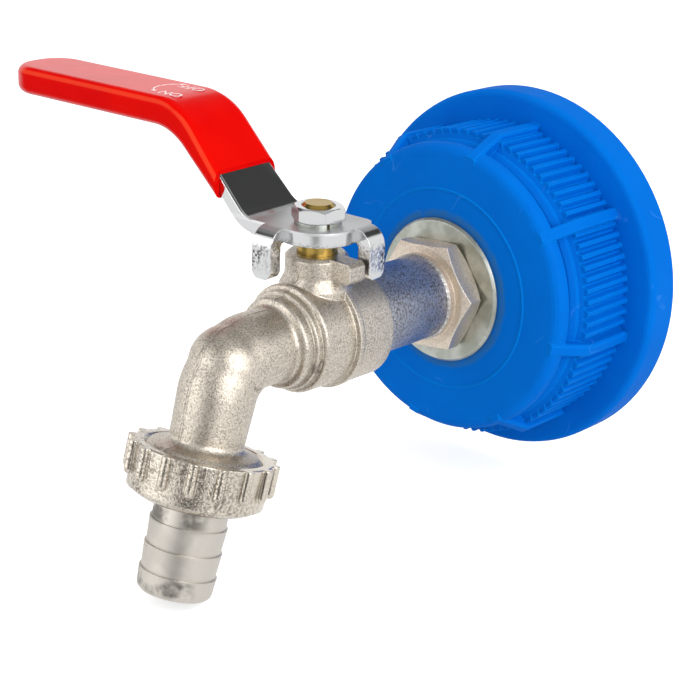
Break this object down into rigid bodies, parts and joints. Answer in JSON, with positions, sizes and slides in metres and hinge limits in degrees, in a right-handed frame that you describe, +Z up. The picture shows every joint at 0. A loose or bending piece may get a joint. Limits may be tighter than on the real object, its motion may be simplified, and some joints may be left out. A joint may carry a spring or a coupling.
{
  "type": "canister tap",
  "caption": "Ball-valve tap with a lever, a turned-down hose tail under a union nut, and a moulded screw cap that fits a canister neck.",
  "frame": {"origin": "centre of the cap's open mouth, on the canister thread's axis", "axes": "+Y along the cap's axis towards the canister, +Z up along the valve's stem, -X towards the closed lever's grip"},
  "size_m": [0.1429, 0.1337, 0.1041],
  "materials": {
    "cap_plastic": "satin moulded",
    "black_rubber": "matte",
    "zinc_plate": "zinc plated",
    "cast_nickel": "cast, nickel plated",
    "turned_nickel": "turned, nickel plated",
    "ball_chrome": "polished, chrome plated",
    "white_seat": "smooth",
    "stem_brass": "turned",
    "lever_chrome": "polished",
    "sleeve_vinyl": "dipped, soft sheen"
  },
  "bodies": {
    "tap": {"screw_cap": "cap_plastic", "cap_gasket": "black_rubber", "front_washer": "zinc_plate", "inlet_connector": "cast_nickel", "rear_seal": "black_rubber", "rear_washer": "zinc_plate", "rear_nut": "turned_nickel", "valve_body": "cast_nickel", "inlet_seat": "white_seat", "outlet_seat": "white_seat", "thrust_washer": "white_seat"},
    "handle": {"lever": "lever_chrome", "lever_sleeve": "sleeve_vinyl", "lever_lock_washer": "zinc_plate", "lever_nut": "lever_chrome", "stem": "stem_brass", "ball": "ball_chrome", "lower_o_ring": "black_rubber", "upper_o_ring": "black_rubber"},
    "tail": {"hose_tail": "turned_nickel", "union_seal": "black_rubber"},
    "union": {"union_nut": "cast_nickel"}
  },
  "joints": [
    {"name": "lever_turn", "type": "hinge", "parent": "tap", "child": "handle", "pos_m": [0, -0.0806, 0], "axis": [0, 0, 1], "range_deg": [-4, 86]},
    {"name": "tail_slide", "type": "slide", "parent": "tap", "child": "tail", "axis": [0, -0.2765, -0.961], "range_m": [0, 0.0046]},
    {"name": "nut_turn", "type": "hinge", "parent": "tail", "child": "union", "pos_m": [0, -0.10945, 0], "axis": [0, -0.2765, -0.961], "range_deg": [0, 900]}
  ],
  "couplings": [
    {"joint": "tail_slide", "follows": "nut_turn", "m_per_rad": 0.0002887}
  ]
}
